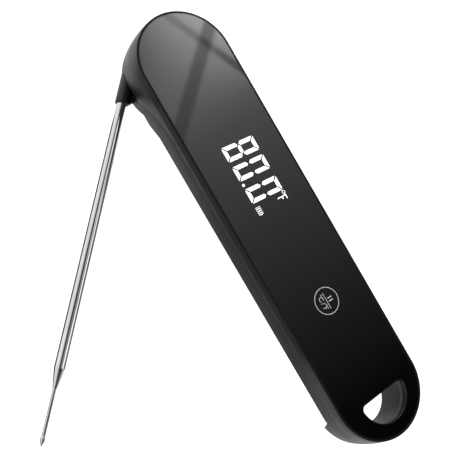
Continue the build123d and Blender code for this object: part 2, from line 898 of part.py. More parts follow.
with BuildPart() as hub_drum:
    add(head_form.part)
    with BuildSketch(Plane.XY.offset(drum_front)):
        with Locations((0, hinge_y)):
            Circle(body_width)
    extrude(amount=beyond, mode=Mode.SUBTRACT)
    with BuildSketch():
        with Locations((0, hinge_y)):
            Circle(body_width)
    extrude(amount=drum_back, mode=Mode.SUBTRACT)
    fillet(hub_drum.edges().group_by(Axis.Z)[0], 0.9)
    # bore, seal seat and recess round the hinge
    with BuildSketch():
        with Locations((0, hinge_y)):
            Circle(post_radius + running_gap)
    extrude(amount=beyond, mode=Mode.SUBTRACT)
    with BuildSketch(Plane.XY.offset(drum_front - 1.2)):
        with Locations((0, hinge_y)):
            Circle(6.6)
    extrude(amount=beyond, mode=Mode.SUBTRACT)
    with BuildSketch():
        with Locations((0, hinge_y)):
            Circle(drum_recess_radius)
    extrude(amount=drum_recess, mode=Mode.SUBTRACT)
    # seat of the back plate
    with BuildSketch():
        with Locations((0, hinge_y)):
            Circle(plate_radius)
    extrude(amount=plate_front, mode=Mode.SUBTRACT)
    # pocket beside the probe arm, and the seat of the arm itself
    with BuildSketch(swing):
        with Locations(((probe_offset + pocket_edge) / 2, root_tab_end - 8.0)):
            Rectangle(pocket_edge - probe_offset, 16.0)
    extrude(amount=drum_front + 1.0, mode=Mode.SUBTRACT)
    with BuildSketch(arm_section):
        Circle(arm_radius)
    extrude(amount=20, mode=Mode.SUBTRACT)
    with BuildSketch(swing.offset(plate_front)):
        with Locations(((probe_offset + root_tab_edge) / 2, (arm_root + root_tab_end) / 2)):
            Rectangle(root_tab_edge - probe_offset, arm_root - root_tab_end)
    extrude(amount=web_front - plate_front, mode=Mode.SUBTRACT)
    # seats of the magnet and the plate screws
    with BuildSketch(swing.offset(plate_front)):
        with PolarLocations(plate_screw_circle, 1, start_angle=60):
            Circle(hub_magnet_radius)
    extrude(amount=hub_magnet_thickness, mode=Mode.SUBTRACT)
    with BuildSketch(swing.offset(plate_front)):
        with PolarLocations(plate_screw_circle, 3):
            Circle(plate_screw_shank)
    extrude(amount=2.6, mode=Mode.SUBTRACT)
save(hub_drum, "hub_drum")

with BuildPart() as hub_back_plate:
    with BuildSketch(swing.offset(drum_back)):
        Circle(plate_radius)
        Circle(plate_bore, mode=Mode.SUBTRACT)
        with PolarLocations(plate_screw_circle, 3):
            Circle(plate_screw_shank, mode=Mode.SUBTRACT)
    extrude(amount=plate_thickness)
    with BuildSketch(swing.offset(drum_back)):
        with PolarLocations(plate_screw_circle, 3):
            Circle(plate_screw_head)
    extrude(amount=0.6, mode=Mode.SUBTRACT)
save(hub_back_plate, "hub_back_plate")

with BuildPart() as hub_screws:
    with BuildSketch(swing.offset(drum_back + 0.1)):
        with PolarLocations(plate_screw_circle, 3):
            Circle(plate_screw_head)
    extrude(amount=0.5)
    with BuildSketch(swing.offset(drum_back + 0.6)):
        with PolarLocations(plate_screw_circle, 3):
            Circle(plate_screw_shank)
    extrude(amount=3.0)
    with BuildSketch(swing.offset(drum_back + 0.1)):
        with PolarLocations(plate_screw_circle, 3):
            Rectangle(1.5, 0.3)
            Rectangle(0.3, 1.5)
    extrude(amount=0.25, mode=Mode.SUBTRACT)
save(hub_screws, "hub_screws")

with BuildPart() as wake_magnet:
    with BuildSketch(swing.offset(plate_front)):
        with PolarLocations(plate_screw_circle, 1, start_angle=60):
            Circle(hub_magnet_radius)
    extrude(amount=hub_magnet_thickness)
save(wake_magnet, "wake_magnet")

with BuildPart() as probe_arm:
    with BuildSketch(arm_section):
        Circle(arm_radius)
    extrude(amount=arm_root - arm_end)
    outer_end = probe_arm.faces().sort_by(Axis(probe_axis.origin, probe_axis.x_dir))[-1]
    fillet(outer_end.edges(), 0.5)
    # web that fills the drum's pocket beside the arm, with a cut corner and a raised strip
    with BuildSketch(swing.offset(web_back)):
        with BuildLine():
            Polyline(
                (probe_offset, arm_root),
                (pocket_edge, arm_root),
                (pocket_edge, arm_end + web_corner),
                (pocket_edge - web_corner, arm_end),
                (probe_offset, arm_end),
                close=True,
            )
        make_face()
    extrude(amount=web_step - web_back)
    with BuildSketch(swing.offset(web_step)):
        with BuildLine():
            Line((probe_offset, arm_root), (probe_offset + 0.6, arm_root))
            Spline(
                (probe_offset + 0.6, arm_root),
                (probe_offset + 1.9, (arm_root + arm_end) / 2 - 3.5),
                (pocket_edge - web_corner / 2 + 0.5, arm_end + web_corner / 2 + 0.5),
            )
            Polyline(
                (pocket_edge - web_corner / 2 + 0.5, arm_end + web_corner / 2 + 0.5),
                (pocket_edge - web_corner / 2, arm_end + web_corner / 2),
                (pocket_edge - web_corner, arm_end),
                (probe_offset, arm_end),
                (probe_offset, arm_root),
            )
        make_face()
    extrude(amount=web_front - web_step)
    with BuildSketch(swing.offset(web_back)):
        with Locations(((probe_offset + root_tab_edge) / 2, (arm_root + root_tab_end) / 2)):
            Rectangle(root_tab_edge - probe_offset, arm_root - root_tab_end)
    extrude(amount=web_front - web_back)
    with BuildSketch(arm_section):
        Circle(tube_root_radius)
    extrude(amount=beyond, mode=Mode.SUBTRACT)
save(probe_arm, "probe_arm")

# The steel probe: distances run out along the probe from the drum's middle.
exit_at = -arm_end
step_at = exit_at + tube_length
tip_at = step_at + step_length
point_at = tip_at + tip_length
probe_line = Axis(probe_axis.origin, probe_axis.x_dir)

with BuildPart() as probe_tube:
    with BuildSketch(probe_axis):
        with BuildLine():
            Polyline(
                (tube_root, tube_bore),
                (tube_root, tube_root_radius),
                (exit_at + exit_groove, tube_root_radius),
                (exit_at + exit_groove, tube_radius),
                (step_at, tube_radius),
                (tip_at, tip_radius + 0.12),
                (tip_at, tip_radius),
                (step_at + 2.0, tip_radius),
                (step_at, tube_bore),
                close=True,
            )
        make_face()
    revolve(axis=probe_line)
save(probe_tube, "probe_tube")

with BuildPart() as probe_tip:
    with BuildSketch(probe_axis):
        with BuildLine():
            Polyline(
                (step_at + 2.5, tip_bore),
                (step_at + 2.5, tip_radius),
                (point_at - 3.4, tip_radius),
                (point_at - 2.4, tip_radius + tip_flare),
                (point_at - 1.6, tip_radius + tip_flare - 0.06),
                (point_at, 0.08),
                (point_at, 0),
                (point_at - 1.8, 0),
                (point_at - 2.2, tip_bore),
                close=True,
            )
        make_face()
    revolve(axis=probe_line)
save(probe_tip, "probe_tip")

with BuildPart() as temperature_sensor:
    with BuildSketch(probe_axis):
        with BuildLine():
            Polyline((point_at - 5.2, 0), (point_at - 2.6, 0))
            Polyline((point_at - 5.2, 0), (point_at - 5.2, 0.2), (point_at - 4.6, 0.36))
            Polyline((point_at - 4.6, 0.36), (point_at - 3.0, 0.36), (point_at - 2.6, 0.0))
        make_face()
    revolve(axis=probe_line)
save(temperature_sensor, "temperature_sensor")

wire_start = tube_root + 3.0
wire_end = point_at - 5.4

with BuildPart() as probe_wires:
    for side in (-0.2, 0.2):
        with BuildSketch(arm_section.offset(wire_start + arm_root)):
            with Locations((side, 0)):
                Circle(0.14)
        extrude(amount=wire_end - wire_start)
save(probe_wires, "probe_wires")
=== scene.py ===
"""Looks of a folding meat thermometer with a glossy full-face panel and a lit reading.

The object lies on its flat back on a pale floor: +X points to the top of the figures,
+Y to the hinge end and +Z out of the panel. Lengths are in metres.
"""

from math import cos, pi, radians, sin, sqrt

import bpy
from mathutils import Matrix, Vector

MM = 0.001

# The probe's line at rest: the hinge, unit vectors to the probe's left and along it, and its offset.
OPEN_ANGLE = radians(43.2)
HINGE = (0.0, 66.5 * MM, 0.0)
PROBE_LEFT = (-cos(OPEN_ANGLE), sin(OPEN_ANGLE), 0.0)
PROBE_RUN = (-sin(OPEN_ANGLE), -cos(OPEN_ANGLE), 0.0)
PROBE_ASIDE = 16.0 * MM
# The object's own directions and its middle.
ACROSS = (1.0, 0.0, 0.0)
LENGTHWAYS = (0.0, 1.0, 0.0)
UPWARDS = (0.0, 0.0, 1.0)
ORIGIN = (0.0, 0.0, 0.0)

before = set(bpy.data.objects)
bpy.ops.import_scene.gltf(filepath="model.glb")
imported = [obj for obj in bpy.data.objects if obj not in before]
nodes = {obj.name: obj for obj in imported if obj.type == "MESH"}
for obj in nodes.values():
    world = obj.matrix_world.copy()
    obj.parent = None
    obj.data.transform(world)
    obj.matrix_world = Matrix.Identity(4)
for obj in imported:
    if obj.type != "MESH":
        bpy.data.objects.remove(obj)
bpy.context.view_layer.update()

# ---------------------------------------------------------------- camera
CAMERA_PLACE = (-0.1452, 0.0043, 0.2600)
CAMERA_PITCH = radians(-0.53)
CAMERA_TILT = radians(27.62)
CAMERA_ROLL = radians(29.96)
CAMERA_LENS = 62.6
CAMERA_SENSOR = 36.0
CAMERA_SHIFT = -0.0006
CAMERA_NEAR = 0.01

camera_data = bpy.data.cameras.new("camera")
camera_data.sensor_width = CAMERA_SENSOR
camera_data.lens = CAMERA_LENS
camera_data.shift_x = CAMERA_SHIFT
camera_data.clip_start = CAMERA_NEAR
camera = bpy.data.objects.new("camera", camera_data)
bpy.context.scene.collection.objects.link(camera)
camera.matrix_world = (
    Matrix.Translation(CAMERA_PLACE)
    @ Matrix.Rotation(-CAMERA_TILT, 4, "Y")
    @ Matrix.Rotation(-CAMERA_PITCH, 4, "X")
    @ Matrix.Rotation(-CAMERA_ROLL, 4, "Z")
)
bpy.context.scene.camera = camera
bpy.context.scene.view_settings.view_transform = "Standard"

# ---------------------------------------------------------------- node helpers
EDGE_TURNS = (0.995, 0.93)  # cosines between a face and its rounded edge: none and all of the edge
EDGE_SAMPLES = 4
BLUE_LOSS = 1.6  # how much more blue a warm grey loses than it gains red


class Graph:
    """One material's node graph."""

    def __init__(self, name):
        self.material = bpy.data.materials.new(name)
        self.material.use_nodes = True
        self.tree = self.material.node_tree
        self.shader = self.tree.nodes["Principled BSDF"]
        self.place = self.new("ShaderNodeTexCoord").outputs["Object"]

    def new(self, kind, **settings):
        node = self.tree.nodes.new(kind)
        for name, value in settings.items():
            setattr(node, name, value)
        return node

    def join(self, source, target):
        self.tree.links.new(source, target)

    def fill(self, target, value):
        """Set an input from another node's output or from a constant."""
        if isinstance(value, bpy.types.NodeSocket):
            self.join(value, target)
        else:
            target.default_value = value

    def turned(self, angle, stretch=(1.0, 1.0, 1.0)):
        """Object coordinates turned about Z, then stretched."""
        turn = self.new("ShaderNodeMapping")
        turn.inputs["Rotation"].default_value = (0.0, 0.0, angle)
        self.join(self.place, turn.inputs["Vector"])
        scale = self.new("ShaderNodeMapping")
        scale.inputs["Scale"].default_value = stretch
        self.join(turn.outputs["Vector"], scale.inputs["Vector"])
        return scale.outputs["Vector"]

    def noise(self, size, detail=3.0, vector=None):
        """Noise whose features are about this size, from 0 to 1."""
        node = self.new("ShaderNodeTexNoise")
        node.inputs["Scale"].default_value = 1.0 / size
        node.inputs["Detail"].default_value = detail
        self.join(vector or self.place, node.inputs["Vector"])
        return node.outputs["Fac"]

    def cells(self, size):
        """Distance to the nearest point of a scatter this far apart."""
        node = self.new("ShaderNodeTexVoronoi")
        node.inputs["Scale"].default_value = 1.0 / size
        self.join(self.place, node.inputs["Vector"])
        return node.outputs["Distance"]

    def span(self, value, low, high, new_low=0.0, new_high=1.0):
        """Map a range onto another, clamped."""
        node = self.new("ShaderNodeMapRange")
        node.inputs["From Min"].default_value = low
        node.inputs["From Max"].default_value = high
        node.inputs["To Min"].default_value = new_low
        node.inputs["To Max"].default_value = new_high
        self.join(value, node.inputs["Value"])
        return node.outputs["Result"]

    def math(self, operation, first, second=0.0):
        """One arithmetic operation on two values."""
        node = self.new("ShaderNodeMath", operation=operation)
        self.fill(node.inputs[0], first)
        self.fill(node.inputs[1], second)
        return node.outputs["Value"]

    def product(self, first, *others):
        """Product of several values."""
        for other in others:
            first = self.math("MULTIPLY", first, other)
        return first

    def axis(self, letter):
        """One object coordinate."""
        split = self.new("ShaderNodeSeparateXYZ")
        self.join(self.place, split.inputs["Vector"])
        return split.outputs[letter]

    def blend(self, share, first, second):
        """Mix of two colours."""
        node = self.new("ShaderNodeMix", data_type="RGBA")
        self.fill(node.inputs["Factor"], share)
        self.fill(node.inputs["A"], first)
        self.fill(node.inputs["B"], second)
        return node.outputs["Result"]

    def along(self, line, start):
        """Distance along a unit vector from a start point, in object coordinates."""
        offset = self.new("ShaderNodeVectorMath", operation="SUBTRACT")
        self.join(self.place, offset.inputs[0])
        offset.inputs[1].default_value = start
        dot = self.new("ShaderNodeVectorMath", operation="DOT_PRODUCT")
        self.join(offset.outputs["Vector"], dot.inputs[0])
        dot.inputs[1].default_value = line
        return dot.outputs["Value"]

    def edge_mask(self, radius):
        """One on convex and concave edges, zero on open surfaces."""
        rounded = self.new("ShaderNodeBevel", samples=EDGE_SAMPLES)
        rounded.inputs["Radius"].default_value = radius
        flat = self.new("ShaderNodeNewGeometry")
        dot = self.new("ShaderNodeVectorMath", operation="DOT_PRODUCT")
        self.join(rounded.outputs["Normal"], dot.inputs[0])
        self.join(flat.outputs["Normal"], dot.inputs[1])
        return self.span(dot.outputs["Value"], *EDGE_TURNS)

    def bump(self, height, depth):
        """Normal of a surface whose height varies by this depth."""
        node = self.new("ShaderNodeBump")
        node.inputs["Strength"].default_value = 1.0
        node.inputs["Distance"].default_value = depth
        self.join(height, node.inputs["Height"])
        return node.outputs["Normal"]

    def set(self, **values):
        """Set the shader's inputs; underscores stand for spaces."""
        for name, value in values.items():
            self.fill(self.shader.inputs[name.replace("_", " ")], value)


def grey(value, warmth=0.0):
    """A near neutral colour, a little warm or cool."""
    return (value * (1 + warmth), value, value * (1 - BLUE_LOSS * warmth), 1.0)


def scaled(colour, gain):
    """A colour made lighter or darker."""
    return tuple(min(1.0, part * gain) for part in colour[:3]) + (1.0,)


def fill_ramp(ramp, stops):
    """Set a colour ramp's grey stops, given as place and level."""
    elements = ramp.elements
    elements[0].position, elements[0].color = stops[0][0], grey(stops[0][1])
    elements[1].position, elements[1].color = stops[-1][0], grey(stops[-1][1])
    for position, level in stops[1:-1]:
        elements.new(position).color = grey(level)


# ---------------------------------------------------------------- materials
# In the materials, a name ending in SPAN is the part of a pattern's range over which a change sets in, and
# one ending in SHARE says how far it goes. Two spans are used often: a wide one and a sharper one.
WIDE_SPAN = (0.3, 0.7)
SHARP_SPAN = (0.35, 0.65)

FLOW_MARK = 14 * MM
FLOW_TONES = (0.86, 1.18)
SPECK = 0.5 * MM
SPECK_SPAN = (0.62, 0.75)
SPECK_SHARE = 0.25
EDGE_WEAR_AND_HIGHLIGHT = 0.18 * MM
EDGE_POLISH = 0.08
WEAR_AND_HIGHLIGHT_PATCH = 2.5 * MM
WEAR_AND_HIGHLIGHT_SHARES = (0.1, 0.6)
LIGHTER_GAIN = 1.6
POLISH_PATCH = 6 * MM
POLISH_SPREAD = (-0.05, 0.06)
GRAIN_RATIO = 1.7
RIM_PAINTED_SHADE = grey(0.003)
RIM_ROUGHNESS = 0.85
RIM_FADE = 0.1 * MM
RIM_SLOPES = (0.3, 0.8)  # upward part of the face's normal: none and all of the rim's painted shade
PLASTIC_IOR = 1.5
PLASTIC_SHEEN = 0.4


def moulded(name, colour, roughness, grain, depth, dark_above=None):
    """Moulded plastic: spark-eroded grain, faint flow marks and slightly polished edges.

    Faces that look up above the height dark_above get painted shade: a dull, near black colour that stands
    in for the dark reflection of the case's rim.
    """
    g = Graph(name)
    flow = g.noise(FLOW_MARK, detail=2.0)
    speck = g.noise(SPECK, detail=2.0)
    dark, light = (scaled(colour, tone) for tone in FLOW_TONES)
    # Lighter tone used for the specks and for the edges' wear and painted highlight.
    lighter_tone = scaled(colour, LIGHTER_GAIN)
    base = g.blend(g.span(flow, *WIDE_SPAN), dark, light)
    base = g.blend(g.span(speck, *SPECK_SPAN, 0.0, SPECK_SHARE), base, lighter_tone)
    edges = g.edge_mask(EDGE_WEAR_AND_HIGHLIGHT)
    # Edge wear and painted highlight: convex and concave edges get a lighter tone in patches, partly as
    # rubbed wear and partly standing in for the highlights that edges catch.
    edge_wear_and_highlight = g.product(edges, g.span(g.noise(WEAR_AND_HIGHLIGHT_PATCH), *SHARP_SPAN, *WEAR_AND_HIGHLIGHT_SHARES))
    base = g.blend(edge_wear_and_highlight, base, lighter_tone)
    polish = g.noise(POLISH_PATCH, detail=4.0)
    rough = g.span(polish, *WIDE_SPAN, *(roughness + part for part in POLISH_SPREAD))
    rough = g.math("SUBTRACT", rough, g.product(edges, EDGE_POLISH))
    # Painted shade: the rim's upward faces are darkened to near black in place of the dark reflection they
    # show, and made rough.
    if dark_above is not None:
        normal = g.new("ShaderNodeSeparateXYZ")
        g.join(g.new("ShaderNodeNewGeometry").outputs["Normal"], normal.inputs["Vector"])
        height = g.along(UPWARDS, (0.0, 0.0, dark_above))
        rim = g.product(g.span(height, 0.0, RIM_FADE), g.span(normal.outputs["Z"], *RIM_SLOPES))
        base = g.blend(rim, base, RIM_PAINTED_SHADE)
        rough = g.math("MAXIMUM", rough, g.product(rim, RIM_ROUGHNESS))
    texture = g.math("ADD", g.noise(grain), g.cells(grain * GRAIN_RATIO))
    g.set(
        Base_Color=base,
        Roughness=rough,
        Normal=g.bump(texture, depth),
        IOR=PLASTIC_IOR,
        Specular_IOR_Level=PLASTIC_SHEEN,
    )
    return g


PANEL_TONES = ((0.0012, 0.0012, 0.0014, 1.0), (0.0022, 0.0022, 0.0024, 1.0))
PANEL_CLOUD = 30 * MM
PANEL_ROUGHNESSES = (0.02, 0.05)
PANEL_BORDER = 0.70 * MM
BORDER_ROUGHNESS = 0.9
ACRYLIC_IOR = 1.5
WIPE_MARK = 5 * MM
WIPE_SPAN = (0.35, 0.75)
WIPE_TURN = radians(35)
WIPE_STRETCH = (1.0, 0.22, 1.0)
HAIRLINE = 0.16 * MM
HAIRLINE_SPAN = (0.72, 0.8)
HAIRLINE_TURN = radians(20)
HAIRLINE_STRETCH = (1.0, 0.01, 1.0)
HAIRLINE_DEPTH = 0.0004 * MM


def polished_panel(name):
    """Glossy black acrylic with faint wipe marks, hairline scratches and a dull ground border."""
    g = Graph(name)
    base = g.blend(g.noise(PANEL_CLOUD, detail=1.0), *PANEL_TONES)
    wipe = g.noise(WIPE_MARK, detail=5.0, vector=g.turned(WIPE_TURN, WIPE_STRETCH))
    rough = g.span(wipe, *WIPE_SPAN, *PANEL_ROUGHNESSES)
    rough = g.math("MAXIMUM", rough, g.product(g.edge_mask(PANEL_BORDER), BORDER_ROUGHNESS))
    hair = g.noise(HAIRLINE, detail=1.0, vector=g.turned(HAIRLINE_TURN, HAIRLINE_STRETCH))
    scratch = g.span(hair, *HAIRLINE_SPAN)
    g.set(
        Base_Color=base,
        Roughness=rough,
        Normal=g.bump(scratch, HAIRLINE_DEPTH),
        IOR=ACRYLIC_IOR,
    )
    return g


LIT_TONES = ((1.0, 1.0, 1.0, 1.0), (0.93, 0.95, 1.0, 1.0))
LIT_CELL = 0.35 * MM
LIT_CELL_SPAN = (0.0, 0.7)
LIT_ROUGHNESS = 0.35


def lit(name, strength):
    """Back-lit white figure: an even glow with a very slight cell pattern."""
    g = Graph(name)
    glow = g.blend(g.span(g.cells(LIT_CELL), *LIT_CELL_SPAN), *LIT_TONES)
    g.set(
        Base_Color=glow,
        Roughness=LIT_ROUGHNESS,
        Emission_Color=glow,
        Emission_Strength=strength,
    )
    return g


INK_TONE = 0.6 * MM
INK_SPAN = (0.35, 0.7)
INK_THIN = 0.86
INK_ROUGHNESS = 0.42
INK_DEPTH = 0.002 * MM
PINHOLE = 0.22 * MM
PINHOLE_SPAN = (0.05, 0.12)
PINHOLE_TONE = 0.6


def printed(name, value):
    """Screen-printed ink: pinholes and a soft, uneven tone."""
    g = Graph(name)
    tone = g.noise(INK_TONE)
    ink = g.blend(g.span(tone, *INK_SPAN), grey(value * INK_THIN), grey(value))
    pinhole = g.span(g.cells(PINHOLE), *PINHOLE_SPAN)
    ink = g.blend(pinhole, grey(value * PINHOLE_TONE), ink)
    g.set(Base_Color=ink, Roughness=INK_ROUGHNESS, Normal=g.bump(tone, INK_DEPTH))
    return g


STAIN = 9 * MM
STAIN_GAIN = 0.9
LINE_COLOUR = grey(0.25)
LINE_SPAN = (0.55, 0.75)
LINE_SHARE = 0.12
LINE_SPREAD = (-0.04, 0.07)
LINE_DEPTH = 0.0006 * MM


def drawn_metal(name, colour, roughness, line, along=0.0, stretch=0.02):
    """Metal with fine lines along one direction and light stains."""
    g = Graph(name)
    lines = g.noise(line, vector=g.turned(along, (1.0, stretch, 1.0)))
    base = g.blend(g.span(g.noise(STAIN), *SHARP_SPAN), scaled(colour, STAIN_GAIN), colour)
    base = g.blend(g.span(lines, *LINE_SPAN, 0.0, LINE_SHARE), base, LINE_COLOUR)
    g.set(
        Base_Color=base,
        Metallic=1.0,
        Roughness=g.span(lines, *WIDE_SPAN, *(roughness + part for part in LINE_SPREAD)),
        Normal=g.bump(lines, LINE_DEPTH),
    )
    return g


BLOOM = 3 * MM
BLOOM_SPAN = (0.45, 0.8)
BLOOM_SHARE = 0.6
BLOOM_GAIN = 1.7
PORE = 0.18 * MM
PORE_DEPTH = 0.004 * MM
RUBBER_ROUGHNESS = 0.62


def rubber(name, colour):
    """Silicone seal: matt, fine pores and a dusty bloom."""
    g = Graph(name)
    bloom = g.noise(BLOOM, detail=4.0)
    dusty = scaled(colour, BLOOM_GAIN)
    base = g.blend(g.span(bloom, *BLOOM_SPAN, 0.0, BLOOM_SHARE), colour, dusty)
    g.set(
        Base_Color=base,
        Roughness=RUBBER_ROUGHNESS,
        Normal=g.bump(g.cells(PORE), PORE_DEPTH),
    )
    return g


TRACK_PITCH = 2.4 * MM
TRACK_GAP = 0.06
TRACK_STAGGER = 0.5
TRACK_TONES = ((0.02, 0.16, 0.06, 1.0), (0.008, 0.07, 0.025, 1.0))
WEAVE_COLOUR = (0.04, 0.14, 0.05, 1.0)
WEAVE = 0.25 * MM
WEAVE_SPAN = (0.5, 0.8)
WEAVE_SHARE = 0.3
WEAVE_DEPTH = 0.003 * MM
BOARD_ROUGHNESS = 0.32


def board(name):
    """Circuit board: solder mask over copper tracks and weave."""
    g = Graph(name)
    tracks = g.new("ShaderNodeTexBrick", offset=TRACK_STAGGER)
    tracks.inputs["Scale"].default_value = 1.0 / TRACK_PITCH
    tracks.inputs["Mortar Size"].default_value = TRACK_GAP
    g.join(g.place, tracks.inputs["Vector"])
    base = g.blend(g.math("SUBTRACT", 1.0, tracks.outputs["Fac"]), *TRACK_TONES)
    weave = g.noise(WEAVE, detail=2.0)
    base = g.blend(g.span(weave, *WEAVE_SPAN, 0.0, WEAVE_SHARE), base, WEAVE_COLOUR)
    g.set(Base_Color=base, Roughness=BOARD_ROUGHNESS, Normal=g.bump(weave, WEAVE_DEPTH))
    return g


SLEEVE_TONES = ((0.012, 0.012, 0.014, 1.0), (0.55, 0.21, 0.035, 1.0))
SLEEVE_SPLIT = (-26.2 * MM, -26.0 * MM)
SLEEVE_ROUGHNESS = 0.28
WRINKLE = 1.4 * MM
WRINKLE_COLOUR = grey(0.4)
WRINKLE_SPAN = (0.5, 0.8)
WRINKLE_SHARE = 0.15
WRINKLE_DEPTH = 0.01 * MM


def wrap(name):
    """Printed battery sleeve: two-tone film with fine wrinkles."""
    g = Graph(name)
    base = g.blend(g.span(g.axis("Y"), *SLEEVE_SPLIT), *SLEEVE_TONES)
    wrinkle = g.noise(WRINKLE)
    base = g.blend(g.span(wrinkle, *WRINKLE_SPAN, 0.0, WRINKLE_SHARE), base, WRINKLE_COLOUR)
    g.set(Base_Color=base, Roughness=SLEEVE_ROUGHNESS, Normal=g.bump(wrinkle, WRINKLE_DEPTH))
    return g


# Height above which the case's upward faces get painted shade.
CASE_RIM = 18.3 * MM

# One look for each of the record's material slots.
looks = {
    "case": moulded(
        "case_plastic", grey(0.012, 0.09), 0.38, 0.13 * MM, 0.003 * MM, dark_above=CASE_RIM
    ),
    "arm_black": moulded("arm_plastic", grey(0.016), 0.34, 0.12 * MM, 0.003 * MM),
    "module": moulded("display_plastic", grey(0.30), 0.30, 0.2 * MM, 0.002 * MM),
    "chip": moulded("chip_resin", grey(0.012), 0.48, 0.10 * MM, 0.004 * MM),
    "gloss_panel": polished_panel("panel_acrylic"),
    "lit_white": lit("lit_figures", 1.0),
    "printed_white": printed("key_print", 0.80),
    "probe_steel": drawn_metal(
        "probe_stainless", grey(0.78, 0.012), 0.06, 0.10 * MM, along=-OPEN_ANGLE
    ),
    "screw_steel": drawn_metal("screw_zinc", grey(0.62, -0.01), 0.30, 0.2 * MM, stretch=0.4),
    "plated_spring": drawn_metal("spring_nickel", grey(0.70, 0.04), 0.24, 0.12 * MM, stretch=0.1),
    "magnet": drawn_metal("magnet_nickel", grey(0.66, 0.03), 0.20, 0.3 * MM, stretch=0.6),
    "bead": drawn_metal("sensor_solder", grey(0.55), 0.35, 0.2 * MM, stretch=1.0),
    "seal": rubber("seal_silicone", grey(0.045)),
    "tape": rubber("foam_tape", grey(0.03)),
    "wire": rubber("wire_enamel", (0.42, 0.06, 0.03, 1.0)),
    "board": board("board_laminate"),
    "cell_wrap": wrap("battery_sleeve"),
}

for node in nodes.values():
    for index, material in enumerate(node.data.materials):
        node.data.materials[index] = looks[material.name.split(".")[0]].material


# ---------------------------------------------------------------- softened edges
SHARPEST_LEFT = radians(38)
WELD_REACH = 0.0005 * MM


def soften(name, width):
    """Round the sharp edges of one CAD node a little, as moulding and finishing leave them."""
    node = nodes[name]
    weld = node.modifiers.new("join", "WELD")
    weld.merge_threshold = WELD_REACH
    bevel = node.modifiers.new("soften", "BEVEL")
    bevel.width = width
    bevel.segments = 2
    bevel.limit_method = "ANGLE"
    bevel.angle_limit = SHARPEST_LEFT
    bevel.harden_normals = True
    bevel.use_clamp_overlap = True


for name, width in (
    ("front_shell", 0.08 * MM),
    ("front_panel", 0.06 * MM),
    ("hub_drum", 0.10 * MM),
    ("probe_arm", 0.12 * MM),
    ("battery_door", 0.12 * MM),
):
    soften(name, width)


# ---------------------------------------------------------------- floor, lights and world
FLOOR_HALF = 4.0
FLOOR_DROP = 0.02 * MM
TABLE_GLOW = 0.80
TABLE_TONES = (grey(0.36), grey(0.40))
TABLE_CLOUD = 3 * MM
TABLE_ROUGHNESS = 0.9
# Extra light for the camera's own view of the table, which keeps it white beside the part.
TABLE_CLEAR = 0.30
# Part of the table that reflections miss, measured from the probe, so that the steel keeps dark edges.
MISSED_LEFT = 26.0 * MM
MISSED_RIGHT = 70.0 * MM
MISSED_LENGTH = 160.0 * MM
MISSED_FADE = 10.0 * MM
# Strip of the table beside the case, which reflections see dimmed along the middle of the case.
STRIP_EDGE = -28.0 * MM
STRIP_FROM = 48.0 * MM
STRIP_FULL = 5.0 * MM
STRIP_TO = -55.0 * MM
STRIP_END = -80.0 * MM
STRIP_DIMMING = 0.62
SOFT = 3.0 * MM  # blur of both outlines


def plane(name, corners):
    """Flat four-cornered piece of the studio."""
    mesh = bpy.data.meshes.new(name)
    mesh.from_pydata(corners, [], [tuple(range(len(corners)))])
    obj = bpy.data.objects.new(name, mesh)
    bpy.context.scene.collection.objects.link(obj)
    return obj


def missed_by_reflections(g):
    """Share of the table's light that reflected rays lose, over the table's surface."""
    aside = g.math("SUBTRACT", g.along(PROBE_LEFT, HINGE), PROBE_ASIDE)
    run = g.along(PROBE_RUN, HINGE)
    across = g.along(ACROSS, ORIGIN)
    length = g.along(LENGTHWAYS, ORIGIN)
    beside = g.product(
        g.span(aside, -MISSED_RIGHT - SOFT, -MISSED_RIGHT),
        g.span(aside, MISSED_LEFT + SOFT, MISSED_LEFT),
        g.span(run, MISSED_LENGTH, MISSED_LENGTH - MISSED_FADE),
        g.span(run, 0.0, MISSED_FADE),
        g.span(across, STRIP_EDGE, STRIP_EDGE - SOFT),
    )
    strip = g.product(
        g.span(length, STRIP_FROM, STRIP_FULL, 0.0, STRIP_DIMMING),
        g.span(length, STRIP_END, STRIP_TO),
        g.span(across, STRIP_EDGE - SOFT, STRIP_EDGE),
    )
    return g.math("MAXIMUM", beside, strip)


def lit_table():
    """Translucent white table, lit from inside and seen from above only."""
    g = Graph("light_table")
    ray = g.new("ShaderNodeLightPath")
    glow = g.span(ray.outputs["Is Camera Ray"], 0.0, 1.0, TABLE_GLOW, TABLE_GLOW + TABLE_CLEAR)
    g.set(
        Base_Color=g.blend(g.noise(TABLE_CLOUD), *TABLE_TONES),
        Roughness=TABLE_ROUGHNESS,
        Specular_IOR_Level=0.0,
        Emission_Color=(1.0, 1.0, 1.0, 1.0),
        Emission_Strength=glow,
    )
    side = g.new("ShaderNodeNewGeometry")
    clear = g.new("ShaderNodeBsdfTransparent")
    mix = g.new("ShaderNodeMixShader")
    missed = g.product(ray.outputs["Is Glossy Ray"], missed_by_reflections(g))
    hidden = g.math("MAXIMUM", missed, side.outputs["Backfacing"])
    g.join(hidden, mix.inputs[0])
    g.join(g.shader.outputs["BSDF"], mix.inputs[1])
    g.join(clear.outputs["BSDF"], mix.inputs[2])
    g.join(mix.outputs["Shader"], g.tree.nodes["Material Output"].inputs["Surface"])
    return g.material


floor = plane(
    "floor",
    [
        (x * FLOOR_HALF, y * FLOOR_HALF, -FLOOR_DROP)
        for x, y in ((-1, -1), (1, -1), (1, 1), (-1, 1))
    ],
)
floor.data.materials.append(lit_table())

# Window card: a soft bright sheet over the head with the shadow of a window cross, dark at the foot.
CARD_HEIGHT = 0.60
CARD_BOX = ((0.22, -0.30), (0.52, 0.42))
CARD_GAIN = 4.0
